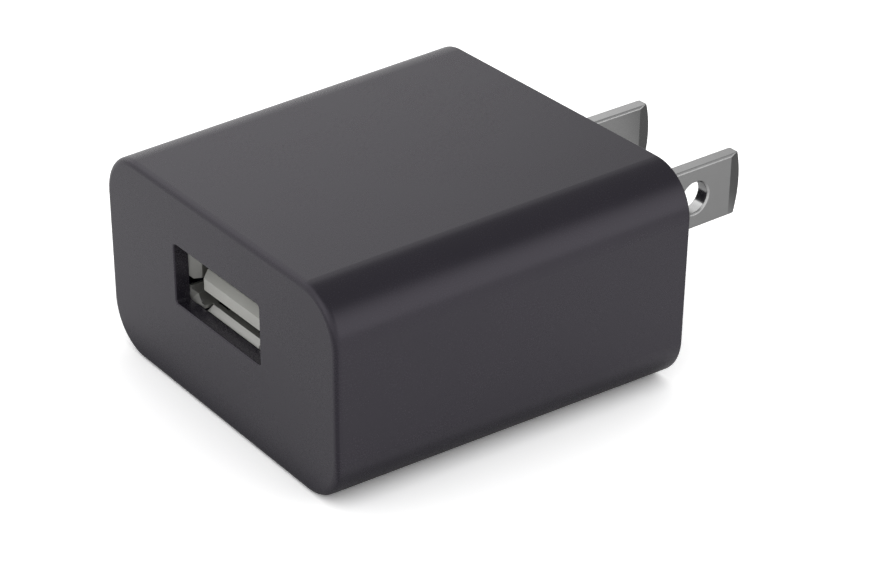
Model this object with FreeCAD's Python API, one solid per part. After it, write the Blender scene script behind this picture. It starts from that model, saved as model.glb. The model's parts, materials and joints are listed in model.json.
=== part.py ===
"""USB wall charger with two fixed flat blades and one USB-A port.

Frame, in millimetres: the origin is the centre of the plug face, the face that lies against the
wall outlet. +Y runs out of that face along the blades, +X is to the right of somebody who looks
along +Y, and +Z is up. The body fills y = -BODY_DEPTH to 0, and the port is in the face at
y = -BODY_DEPTH. The board hangs under the roof with its components below it.
"""
import FreeCAD, Part
import math
import os

V = FreeCAD.Vector
X_AXIS = V(1, 0, 0)
Y_AXIS = V(0, 1, 0)
Z_AXIS = V(0, 0, 1)
ORIGIN = V(0, 0, 0)

# ---------------------------------------------------------------- driving dimensions
# Moulded body: it widens by its draft from the port face to the plug face.
BODY_DEPTH = 36.3
FRONT_WIDTH = 34.9
BACK_WIDTH = 36.64
FRONT_HEIGHT = 19.64
BACK_HEIGHT = 21.02
CORNER_RADIUS = 4.55
FRONT_EDGE_RADIUS = 0.6
BACK_EDGE_RADIUS = 0.2
SIDE_WALL = 1.6
FRONT_WALL = 1.4
MOUTH_RIM = 0.85
COVER_THICKNESS = 2.2
COVER_EDGE_RADIUS = 0.15
RING_DEPTH = 2.8
RING_THICKNESS = 1.0
GUIDE_OVERLAP = 0.6
GUIDE_THICKNESS = 0.95
GUIDE_BACK_Y = -6.0
RIB_X = (4.8, 6.0)
RIB_Y = (-33.2, -22.0)
FORK_X = (10.0, 12.0)
FORK_FRONT_Y = -4.5
FORK_WALL = 0.8
SLIDE_GAP = 0.05
TOUCH_GAP = 0.02

# Port opening and the USB-A receptacle behind it.
PORT_WIDTH = 13.0
PORT_HEIGHT = 5.8
PORT_CENTRE_Z = 1.82
PORT_CORNER = 0.35
PORT_EDGE_RADIUS = 0.15
SHELL_INNER_WIDTH = 12.5
SHELL_INNER_HEIGHT = 5.12
SHELL_SHEET = 0.3
SHELL_CORNER = 0.12
SHELL_LENGTH = 14.0
TONGUE_WIDTH = 11.1
TONGUE_THICKNESS = 1.84
TONGUE_DROP = 0.94
TONGUE_LENGTH = 8.88
TONGUE_SETBACK = 2.0
CONTACT_X = (-3.5, -1.0, 1.0, 3.5)
CONTACT_WIDTH = 1.0
CONTACT_SHEET = 0.2
CONTACT_EXIT_Y = -21.8
CONTACT_RISE = 0.35
CONTACT_BUMP = 3.0
GROOVE_DEPTH = 1.15
GROOVE_GAP = 0.12
TAIL_PIN_WIDTH = 0.7
LEAD_IN_RUN = 0.74
LEAD_IN_DROP = 0.47
LIP_SETBACK = 1.63
LIP_FLARE = 0.53
LIP_ROOT = 0.6
LONG_LIP_HALF = 3.85
LONG_LIP_SPREAD = 0.25
LONG_LIP_GAP = 0.28
SHORT_LIP_HALF = 1.53
SHORT_LIP_CUT = 0.45
SHORT_LIP_GAP = 0.4
SHORT_LIP_RISE = 0.36
FLARE_ON_FLOOR = V(1.39, -0.41, -0.53)
FLARE_ON_WALL = V(-0.25, -0.67, 0.7)
FLARE_TIP = V(-0.45, -0.66, -0.62)
FLARE_SHEET = V(-0.15, 0.08, -0.15)
FLARE_OPENING = V(1.1, -0.7, 0.7)
FLARE_RISE = 0.6
FLARE_TRIM = 0.4
EXIT_HALF_WIDTH = 4.6
EXIT_DEPTH = 0.5
EXIT_MARGIN = 0.6
LEG_Y = (-26.0, -23.8)
LEG_GAP = 0.05
FINGER_X = 3.15
FINGER_WIDTH = 1.6
FINGER_LENGTH = 5.0
FINGER_CLEARANCE = 0.35
FINGER_BOW = 0.5
SLOT_SETBACK = 2.63
SLOT_CORNER = 0.3

# Blades of the two-pole plug.
BLADE_SPACING = 12.7
BLADE_WIDTH = 6.35
BLADE_THICKNESS = 1.5
BLADE_REACH = 17.15
BLADE_TIP_SAGITTA = 0.57
BLADE_TIP_BEVEL = 1.5
BLADE_TIP_THICKNESS = 0.7
BLADE_EDGE_BEVEL = 0.18
BLADE_HOLE_RADIUS = 1.6
BLADE_HOLE_BEVEL = 0.17
BLADE_HOLE_Y = 11.3
BLADE_TAIL = 8.0
TAIL_WIDTH = 4.0
NOTCH_Y = (-4.1, -2.8)
NOTCH_DEPTH = 0.7
SOCKET_DEPTH = 3.0
SOCKET_WALL = 1.5
SOCKET_CORNER = 0.8
TERMINAL_Y = -6.6
TERMINAL_WIDTH = 2.2
TERMINAL_SHEET = 0.4

# Circuit board: its component side faces down, its soldered side up.
BOARD_UNDER_Z = 4.7
BOARD_THICKNESS = 1.2
BOARD_WIDTH = 31.2
BOARD_FRONT_Y = -33.9
BOARD_BACK_Y = -3.0
LEAD_RADIUS = 0.3
LEAD_HOLE_RADIUS = 0.42
LEAD_RISE = 1.3
PIN_SIDE = 0.5
SOLDER_RADIUS = 0.85
SOLDER_HEIGHT = 0.9
STAND_OFF = 0.1

# Transformer: two E-shaped ferrite halves around a bobbin whose axis is upright.
TRANSFORMER_Y = -14.9
CORE_WIDTH = 11.0
CORE_HEIGHT = 10.4
CORE_DEPTH = 5.0
CORE_BACK = 1.4
CORE_LEG = 2.5
CORE_TOP_Z = 3.1
BOBBIN_WALL = 0.6
BOBBIN_DEPTH = 10.4
BOBBIN_PLAY = 0.05
RAIL_HALF_LENGTH = 5.0
TAPE_THICKNESS = 0.12
TAPE_HALF_WIDTH = 2.2
PRIMARY_BUILD = 1.5
SECONDARY_BUILD = 0.64
PIN_PLACES = (
    [(x, TRANSFORMER_Y + 4.6) for x in (-3.75, -1.25, 1.25, 3.75)]
    + [(x, TRANSFORMER_Y - 4.6) for x in (-2.5, 2.5)]
)

# Components that stand on the board: centre x and y.
INPUT_CAPACITOR_AT = ((10.7, -16.0), (-10.7, -16.0))
SUPPLY_CAPACITOR_AT = (-10.3, -23.0)
OUTPUT_CAPACITOR_AT = (-10.7, -29.8)
SECOND_OUTPUT_CAPACITOR_AT = (12.3, -29.6)
SAFETY_CAPACITOR_AT = (10.7, -22.7)
OUTPUT_DIODE_AT = (8.3, -29.8)
FUSE_RESISTOR_AT = (12.2, -7.4)
INPUT_CHOKE_AT = (-11.8, -7.8)

# Sizes of those components.
LARGE_CAPACITOR_RADIUS = 4.0
LARGE_CAPACITOR_PITCH = 3.5
SMALL_CAPACITOR_RADIUS = 2.5
SMALL_CAPACITOR_HEIGHT = 11.0
SMALL_CAPACITOR_PITCH = 2.0
INPUT_CAPACITOR_HEIGHT = 12.0
OUTPUT_CAPACITOR_HEIGHT = 11.5
DISC_RADIUS = 3.4
DISC_THICKNESS = 3.0
DISC_PITCH = 5.0
DISC_DROP = 1.1
DIODE_RADIUS = 1.35
DIODE_LENGTH = 5.2
DIODE_PITCH = 7.2
RESISTOR_RADIUS = 1.6
RESISTOR_LENGTH = 8.0
RESISTOR_PITCH = 3.0
RESISTOR_CAP = 1.6
RESISTOR_DROP = 0.9
CHOKE_CORE_RADIUS = 2.9
CHOKE_WAIST_RADIUS = 1.3
CHOKE_HEIGHT = 7.6
CHOKE_FLANGE = 1.0
CHOKE_PITCH = 3.8

# Small parts on the soldered side: length, width and height.
CHIP_LEG_WIDTH = 0.42
CHIP_FOOT = 0.15
BRIDGE_SIZE = (4.7, 3.8, 1.4)
CONTROLLER_SIZE = (4.9, 3.9, 1.5)
PORT_CHIP_SIZE = (2.9, 1.6, 1.1)
CLAMP_SIZE = (4.3, 2.6, 1.6)
SIGNAL_DIODE_SIZE = (2.7, 1.6, 1.1)
CHIP_RESISTOR_SIZE = (1.6, 0.8, 0.45)
CHIP_CAPACITOR_SIZE = (1.6, 0.8, 0.8)
CHIP_RESISTOR_AT = (
    (3.4, -31.6),
    (5.2, -29.4),
    (-4.8, -27.4),
    (8.2, -19.0),
    (-7.0, -18.4),
    (-7.0, -16.8),
    (13.6, -12.0),
)
CHIP_CAPACITOR_AT = (
    (1.6, -26.6),
    (-1.6, -26.6),
    (6.2, -16.4),
    (-5.2, -13.4),
    (-13.8, -12.0),
)

# Isolation between the two sides of the circuit.
BARRIER_X = (-6.6, 6.6)
BARRIER_Y = (-20.58, -20.34)
BARRIER_BOTTOM_Z = -7.8
BARRIER_SLOT_X = (-7.2, 7.2)
BARRIER_SLOT_Y = (-20.9, -20.0)

# ---------------------------------------------------------------- derived dimensions
FRONT_Y = -BODY_DEPTH
SHELL_FRONT_Y = FRONT_Y + FRONT_WALL + TOUCH_GAP
SHELL_BACK_Y = SHELL_FRONT_Y + SHELL_LENGTH
SHELL_FLOOR_Z = PORT_CENTRE_Z - SHELL_INNER_HEIGHT / 2
SHELL_ROOF_Z = PORT_CENTRE_Z + SHELL_INNER_HEIGHT / 2
TONGUE_TIP_Y = FRONT_Y + TONGUE_SETBACK
TONGUE_ROOT_Y = TONGUE_TIP_Y + TONGUE_LENGTH
TONGUE_TOP_Z = PORT_CENTRE_Z - TONGUE_DROP + TONGUE_THICKNESS / 2
CONTACT_ROOT_Y = TONGUE_ROOT_Y + 0.3
CONTACT_ROOT_Z = TONGUE_TOP_Z - 0.5
FINGER_ROOT_Y = FRONT_Y + 3.5 + FINGER_LENGTH
LIP_BEND_Y = FRONT_Y + 2.13
SIDE_BEND_Y = FRONT_Y + 2.6
SHORT_LIP_Z = PORT_CENTRE_Z + SHORT_LIP_RISE
BOARD_TOP_Z = BOARD_UNDER_Z + BOARD_THICKNESS
LEAD_TOP_Z = BOARD_TOP_Z + LEAD_RISE
BLADE_X = BLADE_SPACING / 2
CORE_BOTTOM_Z = CORE_TOP_Z - CORE_HEIGHT


# ---------------------------------------------------------------- shape helpers
def block(x_range, y_range, z_range):
    """A box between two values on each axis."""
    size = [high - low for low, high in (x_range, y_range, z_range)]
    return Part.makeBox(*size, V(x_range[0], y_range[0], z_range[0]))


def upright(x, y, z_low, z_high, radius):
    """A round bar with an upright axis."""
    return Part.makeCylinder(radius, z_high - z_low, V(x, y, z_low), Z_AXIS)


def rounded_block(x_range, y_range, z_range, radius, axis):
    """A box whose four edges along the axis are rounded."""
    solid = block(x_range, y_range, z_range)
    return solid.makeFillet(radius, edges_along(solid, axis))


def edges_along(solid, axis):
    """The straight edges that run along an axis."""
    chosen = []
    for edge in solid.Edges:
        ends = edge.Vertexes
        if len(ends) == 2 and abs((ends[1].Point - ends[0].Point).normalize().dot(axis)) > 0.9:
            chosen.append(edge)
    return chosen


def joined(shapes):
    """One solid from shapes that touch or overlap."""
    whole = shapes[0].multiFuse(shapes[1:]) if len(shapes) > 1 else shapes[0]
    return whole.removeSplitter()


def strip(points, thickness, width, across):
    """A bent sheet strip of even thickness.

    The points are its centre line in the plane square to the axis across, and the strip is
    centred on that plane.
    """
    rights = []
    lefts = []
    for index, point in enumerate(points):
        before = points[max(index - 1, 0)]
        after = points[min(index + 1, len(points) - 1)]
        into = (point - before).normalize() if index > 0 else (after - point).normalize()
        away = (after - point).normalize() if index < len(points) - 1 else into
        mitre = (into.cross(across) + away.cross(across)).normalize()
        reach = thickness / 2 / mitre.dot(into.cross(across))
        rights.append(point + mitre * reach)
        lefts.insert(0, point - mitre * reach)
    outline = rights + lefts
    face = Part.Face(Part.makePolygon(outline + outline[:1]))
    return face.translated(across * (-width / 2)).extrude(across * width)


def mirrored(solid):
    """The same solid on the other side of the middle plane."""
    return solid.mirror(ORIGIN, X_AXIS)


def half_size(y):
    """Half the width and half the height of the body's outside at a depth."""
    along = (y + BODY_DEPTH) / BODY_DEPTH
    half_width = (FRONT_WIDTH + (BACK_WIDTH - FRONT_WIDTH) * along) / 2
    half_height = (FRONT_HEIGHT + (BACK_HEIGHT - FRONT_HEIGHT) * along) / 2
    return half_width, half_height


def drafted_block(front_y, back_y, inset):
    """The body's drafted outside, moved in by an inset, between two depths."""
    front_x, front_z = (value - inset for value in half_size(front_y))
    back_x, back_z = (value - inset for value in half_size(back_y))
    wedge = Part.makeWedge(
        -front_x, front_y, -front_z, -back_z, -back_x, front_x, back_y, front_z, back_z, back_x
    )
    return wedge.makeFillet(CORNER_RADIUS - inset, edges_along(wedge, Y_AXIS))


def edges_at_y(solid, y):
    """The edges that lie flat at a depth."""
    return [e for e in solid.Edges if abs(e.BoundBox.YMin - y) < 1e-4 and abs(e.BoundBox.YMax - y) < 1e-4]


# ---------------------------------------------------------------- housing and rear cover
def board_guides():
    """Two ledges on each side wall that hold the board's edges between them."""
    across_x = (BOARD_WIDTH / 2 - GUIDE_OVERLAP, BACK_WIDTH / 2)
    along_y = (FRONT_Y + FRONT_WALL / 2, GUIDE_BACK_Y)
    under_z = BOARD_UNDER_Z - SLIDE_GAP
    over_z = BOARD_TOP_Z + SLIDE_GAP
    below = block(across_x, along_y, (under_z - GUIDE_THICKNESS, under_z))
    above = block(across_x, along_y, (over_z, over_z + GUIDE_THICKNESS))
    return [below, above, mirrored(below), mirrored(above)]


def shell_supports():
    """Two ribs on the floor that carry the receptacle when a plug is pushed in."""
    rib = block(RIB_X, RIB_Y, (-BACK_HEIGHT / 2, SHELL_FLOOR_Z - SHELL_SHEET - SLIDE_GAP))
    return [rib, mirrored(rib)]


def housing():
    """The drafted shell with its front wall, port opening, guides and ribs."""
    outside = drafted_block(FRONT_Y, 0, 0)
    outside = outside.makeFillet(FRONT_EDGE_RADIUS, edges_at_y(outside, FRONT_Y))
    outside = outside.makeFillet(BACK_EDGE_RADIUS, edges_at_y(outside, 0))
    shell = outside.cut(drafted_block(FRONT_Y + FRONT_WALL, 1.0, SIDE_WALL))
    shell = shell.cut(drafted_block(-COVER_THICKNESS, 1.0, MOUTH_RIM))
    ribs = Part.makeCompound(board_guides() + shell_supports())
    ribs = ribs.common(drafted_block(FRONT_Y + FRONT_WALL / 2, -COVER_THICKNESS - 1.0, SIDE_WALL / 2))
    shell = joined([shell] + ribs.Solids)
    half_width = PORT_WIDTH / 2
    half_height = PORT_HEIGHT / 2
    port = rounded_block(
        (-half_width, half_width),
        (FRONT_Y - 1.0, FRONT_Y + FRONT_WALL + 0.1),
        (PORT_CENTRE_Z - half_height, PORT_CENTRE_Z + half_height),
        PORT_CORNER,
        Y_AXIS,
    )
    shell = shell.cut(port)
    rim = [e for e in edges_at_y(shell, FRONT_Y) if near_port(e.BoundBox)]
    return shell.makeFillet(PORT_EDGE_RADIUS, rim)


def near_port(bounds):
    """Whether an edge's bounds lie on the port opening and not on the body's outline."""
    half_width = PORT_WIDTH / 2 + TOUCH_GAP
    half_height = PORT_HEIGHT / 2 + TOUCH_GAP
    inside_x = -half_width < bounds.XMin and bounds.XMax < half_width
    inside_z = PORT_CENTRE_Z - half_height < bounds.ZMin and bounds.ZMax < PORT_CENTRE_Z + half_height
    return inside_x and inside_z


def blade_sockets():
    """The two thick sockets inside the cover that grip the blades."""
    half_x = BLADE_THICKNESS / 2 + SOCKET_WALL
    half_z = BLADE_WIDTH / 2 + SOCKET_WALL - TOUCH_GAP
    socket = rounded_block(
        (BLADE_X - half_x, BLADE_X + half_x),
        (-COVER_THICKNESS - SOCKET_DEPTH, -COVER_THICKNESS + 0.5),
        (-half_z, half_z),
        SOCKET_CORNER,
        Y_AXIS,
    )
    return [socket, mirrored(socket)]


def board_forks():
    """Two forks on the cover that hold the board's back edge."""
    fork = block(
        FORK_X,
        (FORK_FRONT_Y, -COVER_THICKNESS + 0.5),
        (BOARD_UNDER_Z - FORK_WALL, BOARD_TOP_Z + FORK_WALL),
    )
    slot = block(
        (FORK_X[0] - 1, FORK_X[1] + 1),
        (FORK_FRONT_Y - 1, BOARD_BACK_Y + SLIDE_GAP),
        (BOARD_UNDER_Z - SLIDE_GAP, BOARD_TOP_Z + SLIDE_GAP),
    )
    fork = fork.cut(slot)
    return [fork, mirrored(fork)]


def rear_cover():
    """The plug face: a plate in the housing's mouth with a locating ring and the blade sockets."""
    plate = drafted_block(-COVER_THICKNESS, 0, MOUTH_RIM + SLIDE_GAP)
    plate = plate.makeFillet(COVER_EDGE_RADIUS, edges_at_y(plate, 0))
    ring_inset = SIDE_WALL + 2 * SLIDE_GAP
    ring_front_y = -COVER_THICKNESS - RING_DEPTH
    ring = drafted_block(ring_front_y, -COVER_THICKNESS + 0.2, ring_inset)
    ring = ring.cut(drafted_block(ring_front_y - 1, 0, ring_inset + RING_THICKNESS))
    room = GUIDE_THICKNESS + 5 * SLIDE_GAP
    board_room = block(
        (-BACK_WIDTH / 2, BACK_WIDTH / 2),
        (ring_front_y - 1, -COVER_THICKNESS),
        (BOARD_UNDER_Z - room, BOARD_TOP_Z + room),
    )
    cover = joined([plate, ring.cut(board_room)] + blade_sockets() + board_forks())
    return cover.cut(blade(BLADE_X)).cut(blade(-BLADE_X))


# ---------------------------------------------------------------- blades
def blade_outline():
    """The blade seen from the side: tail, neck with a grip notch, and rounded tip."""
    half = BLADE_WIDTH / 2
    tail = TAIL_WIDTH / 2
    notch_z = half - NOTCH_DEPTH
    corner_y = BLADE_REACH - BLADE_TIP_SAGITTA
    lower = [
        V(0, -BLADE_TAIL, -tail),
        V(0, -COVER_THICKNESS - SOCKET_DEPTH, -tail),
        V(0, -COVER_THICKNESS - SOCKET_DEPTH, -half),
        V(0, NOTCH_Y[0], -half),
        V(0, NOTCH_Y[0], -notch_z),
        V(0, NOTCH_Y[1], -notch_z),
        V(0, NOTCH_Y[1], -half),
        V(0, corner_y, -half),
    ]
    upper = [V(0, point.y, -point.z) for point in reversed(lower)]
    tip = Part.Arc(lower[-1], V(0, BLADE_REACH, 0), upper[0]).toShape()
    return Part.Wire(
        Part.makePolygon(lower).Edges + [tip] + Part.makePolygon(upper + lower[:1]).Edges
    )


def blade(x):
    """One nickel-plated brass blade, with its bevelled edges, bevelled tip and hole."""
    half = BLADE_THICKNESS / 2
    solid = Part.Face(blade_outline()).translated(V(-half, 0, 0)).extrude(X_AXIS * BLADE_THICKNESS)
    tip_y = BLADE_REACH - BLADE_TIP_BEVEL
    thin = BLADE_TIP_THICKNESS / 2
    shaving = Part.Face(Part.makePolygon([
        V(half, tip_y, -BLADE_WIDTH),
        V(thin, BLADE_REACH, -BLADE_WIDTH),
        V(thin, BLADE_REACH + 1, -BLADE_WIDTH),
        V(half + 1, BLADE_REACH + 1, -BLADE_WIDTH),
        V(half + 1, tip_y, -BLADE_WIDTH),
        V(half, tip_y, -BLADE_WIDTH),
    ])).extrude(Z_AXIS * BLADE_WIDTH * 2)
    edge = BLADE_WIDTH / 2
    bevel = Part.Face(Part.makePolygon([
        V(half, 0, edge - BLADE_EDGE_BEVEL),
        V(half - BLADE_EDGE_BEVEL, 0, edge),
        V(half, 0, edge),
        V(half, 0, edge - BLADE_EDGE_BEVEL),
    ])).extrude(Y_AXIS * BLADE_REACH)
    for cutter in (shaving, bevel, bevel.mirror(ORIGIN, Z_AXIS)):
        solid = solid.cut(cutter).cut(mirrored(cutter))
    hole_at = V(-half, BLADE_HOLE_Y, 0)
    solid = solid.cut(Part.makeCylinder(BLADE_HOLE_RADIUS, BLADE_THICKNESS, hole_at, X_AXIS))
    mouth = Part.makeCone(
        BLADE_HOLE_RADIUS + BLADE_HOLE_BEVEL, BLADE_HOLE_RADIUS, BLADE_HOLE_BEVEL, hole_at, X_AXIS
    )
    solid = solid.cut(mouth).cut(mirrored(mouth))
    return solid.translated(V(x, 0, 0))


def terminal_spring():
    """A bronze strip, soldered in the board, that presses on the right blade's tail."""
    touch_x = BLADE_X - BLADE_THICKNESS / 2 - TERMINAL_SHEET / 2
    points = [
        V(touch_x - 0.8, 0, LEAD_TOP_Z),
        V(touch_x - 0.8, 0, 2.8),
        V(touch_x, 0, 0.5),
        V(touch_x, 0, -0.5),
        V(touch_x - 0.6, 0, -1.9),
    ]
    return strip(points, TERMINAL_SHEET, TERMINAL_WIDTH, Y_AXIS).translated(V(0, TERMINAL_Y, 0))


# ---------------------------------------------------------------- USB-A receptacle
def shell_lip(plan, bend_y, front_y, flare):
    """A flared lip for the receptacle's floor: its inside face starts at z = 0.

    The plan is the lip's outline from above, as pairs of half width and y from back to front.
    """
    sheet = SHELL_SHEET
    slope = math.atan2(flare, bend_y - front_y)
    back_y = plan[0][1]
    corner_y = bend_y + sheet * math.tan(slope / 2)
    half_width = max(half for half, y in plan)
    profile = [
        V(0, back_y, 0),
        V(0, bend_y, 0),
        V(0, front_y, -flare),
        V(0, front_y + sheet * math.sin(slope), -flare - sheet * math.cos(slope)),
        V(0, corner_y, -sheet),
        V(0, back_y, -sheet),
    ]
    lip = Part.Face(Part.makePolygon(profile + profile[:1])).extrude(X_AXIS * half_width * 2)
    outline = [V(half, y, -2 * flare) for half, y in plan]
    outline += [V(-half, y, -2 * flare) for half, y in reversed(plan)]
    trimmer = Part.Face(Part.makePolygon(outline + outline[:1])).extrude(Z_AXIS * 4 * flare)
    return lip.translated(V(-half_width, 0, 0)).common(trimmer)


def corner_facets(along):
    """Two triangles that open the shell's lower left corner towards the port, each swept along."""
    apex = V(-SHELL_INNER_WIDTH / 2, LIP_BEND_Y, SHELL_FLOOR_Z)
    tip = apex + FLARE_TIP
    swept = []
    for outer in (FLARE_ON_FLOOR, FLARE_ON_WALL):
        facet = Part.Face(Part.makePolygon([apex, apex + outer, tip, apex]))
        swept.append(facet.extrude(along))
    return swept


def all_corners(shapes):
    """Shapes made for the shell's lower left corner, and their copies in the other three."""
    lower = shapes + [mirrored(shape) for shape in shapes]
    port_middle = V(0, 0, PORT_CENTRE_Z)
    return lower + [shape.mirror(port_middle, Z_AXIS) for shape in lower]


def finger_slot(side):
    """The opening round one pair of spring fingers, with its two front corners cut."""
    half = FINGER_WIDTH / 2 + FINGER_CLEARANCE
    front_y = FRONT_Y + SLOT_SETBACK
    outline = [
        V(-half, FINGER_ROOT_Y, 0),
        V(-half, front_y + SLOT_CORNER, 0),
        V(-half + SLOT_CORNER, front_y, 0),
        V(half - SLOT_CORNER, front_y, 0),
        V(half, front_y + SLOT_CORNER, 0),
        V(half, FINGER_ROOT_Y, 0),
    ]
    slot = Part.Face(Part.makePolygon(outline + outline[:1])).extrude(Z_AXIS * (SHELL_INNER_HEIGHT + 2))
    return slot.translated(V(side * FINGER_X, 0, SHELL_FLOOR_Z - 1))


def shell_lips():
    """The four flared lips of the shell's mouth."""
    inner_x = SHELL_INNER_WIDTH / 2
    short_front_y = FRONT_Y + FRONT_WALL + SLIDE_GAP
    long_plan = [
        (LONG_LIP_HALF, LIP_BEND_Y + LIP_ROOT),
        (LONG_LIP_HALF, LIP_BEND_Y),
        (LONG_LIP_HALF + LONG_LIP_SPREAD, FRONT_Y + LIP_SETBACK),
    ]
    short_plan = [
        (SHORT_LIP_HALF, SIDE_BEND_Y + LIP_ROOT),
        (SHORT_LIP_HALF, short_front_y + SHORT_LIP_CUT),
        (SHORT_LIP_HALF - SHORT_LIP_CUT, short_front_y),
    ]
    floor_lip = shell_lip(long_plan, LIP_BEND_Y, long_plan[-1][1], LIP_FLARE)
    side_lip = shell_lip(short_plan, SIDE_BEND_Y, short_plan[-1][1], LIP_FLARE)
    return [
        floor_lip.translated(V(0, 0, SHELL_FLOOR_Z)),
        floor_lip.rotated(ORIGIN, Y_AXIS, 180).translated(V(0, 0, SHELL_ROOF_Z)),
        side_lip.rotated(ORIGIN, Y_AXIS, 90).translated(V(-inner_x, 0, SHORT_LIP_Z)),
        side_lip.rotated(ORIGIN, Y_AXIS, -90).translated(V(inner_x, 0, SHORT_LIP_Z)),
    ]


def usb_shell():
    """The folded steel shell: flared lips and corners, finger slots and two soldered legs."""
    inner_x = SHELL_INNER_WIDTH / 2
    outer_x = inner_x + SHELL_SHEET
    outside = rounded_block(
        (-outer_x, outer_x), (SHELL_FRONT_Y, SHELL_BACK_Y),
        (SHELL_FLOOR_Z - SHELL_SHEET, SHELL_ROOF_Z + SHELL_SHEET), SHELL_CORNER + SHELL_SHEET, Y_AXIS,
    )
    inside = rounded_block(
        (-inner_x, inner_x), (SHELL_FRONT_Y - 1, SHELL_BACK_Y + 1), (SHELL_FLOOR_Z, SHELL_ROOF_Z),
        SHELL_CORNER, Y_AXIS,
    )
    tall = (SHELL_FLOOR_Z - 1, SHELL_ROOF_Z + 1)
    wide = (-outer_x - 1, outer_x + 1)
    long_gap = LONG_LIP_HALF + LONG_LIP_GAP
    short_gap = SHORT_LIP_HALF + SHORT_LIP_GAP
    shell = outside.cut(inside)
    shell = shell.cut(block((-long_gap, long_gap), (SHELL_FRONT_Y - 1, LIP_BEND_Y + 0.1), tall))
    side_z = (SHORT_LIP_Z - short_gap, SHORT_LIP_Z + short_gap)
    shell = shell.cut(block(wide, (SHELL_FRONT_Y - 1, SIDE_BEND_Y + 0.3), side_z))
    shell = shell.cut(block(
        (-EXIT_HALF_WIDTH, EXIT_HALF_WIDTH),
        (CONTACT_EXIT_Y - EXIT_MARGIN, SHELL_BACK_Y + 1),
        (SHELL_ROOF_Z - EXIT_DEPTH, SHELL_ROOF_Z + 1),
    ))
    before_flares = block(
        (wide[0], FLARE_ON_FLOOR.x - inner_x),
        (SHELL_FRONT_Y - 1, LIP_BEND_Y - FLARE_TRIM),
        (tall[0], SHELL_FLOOR_Z + FLARE_RISE),
    )
    for opening in all_corners(corner_facets(FLARE_OPENING) + [before_flares]):
        shell = shell.cut(opening)
    leg = block((inner_x, outer_x), LEG_Y, (SHELL_ROOF_Z - 1.0, LEAD_TOP_Z))
    shell = joined([shell] + shell_lips() + all_corners(corner_facets(FLARE_SHEET)) + [leg, mirrored(leg)])
    return shell.cut(finger_slot(-1)).cut(finger_slot(1))


def shell_finger(side, up):
    """One spring finger of the shell: it bows into the port and its free end faces the mouth.

    side is -1 or 1 for left or right; up is 1 in the roof and -1 in the floor.
    """
    root_y = FINGER_ROOT_Y - TOUCH_GAP
    middle_z = SHELL_ROOF_Z + SHELL_SHEET / 2 if up > 0 else SHELL_FLOOR_Z - SHELL_SHEET / 2
    steps = 7
    points = []
    for step in range(steps):
        along = step / (steps - 1)
        rise = FINGER_BOW * (1 - math.cos(along * math.pi)) / 2
        points.append(V(0, root_y - along * (FINGER_LENGTH - 1.1), middle_z - up * rise))
    points.append(V(0, root_y - FINGER_LENGTH + 0.3, middle_z - up * (FINGER_BOW - 0.12)))
    finger = strip(points, SHELL_SHEET - TOUCH_GAP, FINGER_WIDTH, X_AXIS)
    return finger.translated(V(side * FINGER_X, 0, 0))


def contact_tails():
    """The fixed rear halves of the four contacts: through the insulator and up into the board."""
    tails = []
    for x in CONTACT_X:
        points = [
            V(0, CONTACT_ROOT_Y, CONTACT_ROOT_Z),
            V(0, CONTACT_EXIT_Y, CONTACT_ROOT_Z),
            V(0, CONTACT_EXIT_Y, LEAD_TOP_Z),
        ]
        tails.append(strip(points, CONTACT_SHEET, TAIL_PIN_WIDTH, X_AXIS).translated(V(x, 0, 0)))
    return tails


def contact_beam(x):
    """The springy front half of one contact: it rises out of its groove to a rounded bump."""
    root_y = CONTACT_ROOT_Y - TOUCH_GAP
    bump_y = TONGUE_TIP_Y + CONTACT_BUMP
    bump_z = TONGUE_TOP_Z + CONTACT_RISE
    points = [
        V(0, root_y, CONTACT_ROOT_Z),
        V(0, bump_y + 1.1, bump_z - 0.3),
    ]
    for degrees in (30, 10, -10, -30):
        angle = math.radians(degrees)
        points.append(V(0, bump_y + math.sin(angle), bump_z - 1 + math.cos(angle)))
    points.append(V(0, TONGUE_TIP_Y + 1.2, TONGUE_TOP_Z - 0.4))
    return strip(points, CONTACT_SHEET, CONTACT_WIDTH, X_AXIS).translated(V(x, 0, 0))


def usb_insulator():
    """The moulded block in the shell's back, with the tongue and its four contact grooves."""
    half_x = SHELL_INNER_WIDTH / 2 - TOUCH_GAP
    rear = rounded_block(
        (-half_x, half_x), (TONGUE_ROOT_Y, SHELL_BACK_Y - 0.1),
        (SHELL_FLOOR_Z + TOUCH_GAP, SHELL_ROOF_Z - TOUCH_GAP), SHELL_CORNER, Y_AXIS,
    )
    tongue_half = TONGUE_WIDTH / 2
    tongue = block(
        (-tongue_half, tongue_half), (TONGUE_TIP_Y, TONGUE_ROOT_Y + 0.5),
        (TONGUE_TOP_Z - TONGUE_THICKNESS, TONGUE_TOP_Z),
    )
    tongue = tongue_lead_in(tongue)
    body = joined([rear, tongue])
    half = CONTACT_WIDTH / 2 + GROOVE_GAP
    for x in CONTACT_X:
        groove = block(
            (x - half, x + half), (TONGUE_TIP_Y + 1.0, CONTACT_ROOT_Y),
            (TONGUE_TOP_Z - GROOVE_DEPTH, TONGUE_TOP_Z + 1),
        )
        body = body.cut(groove)
    return body.cut(Part.makeCompound(contact_tails()))


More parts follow.
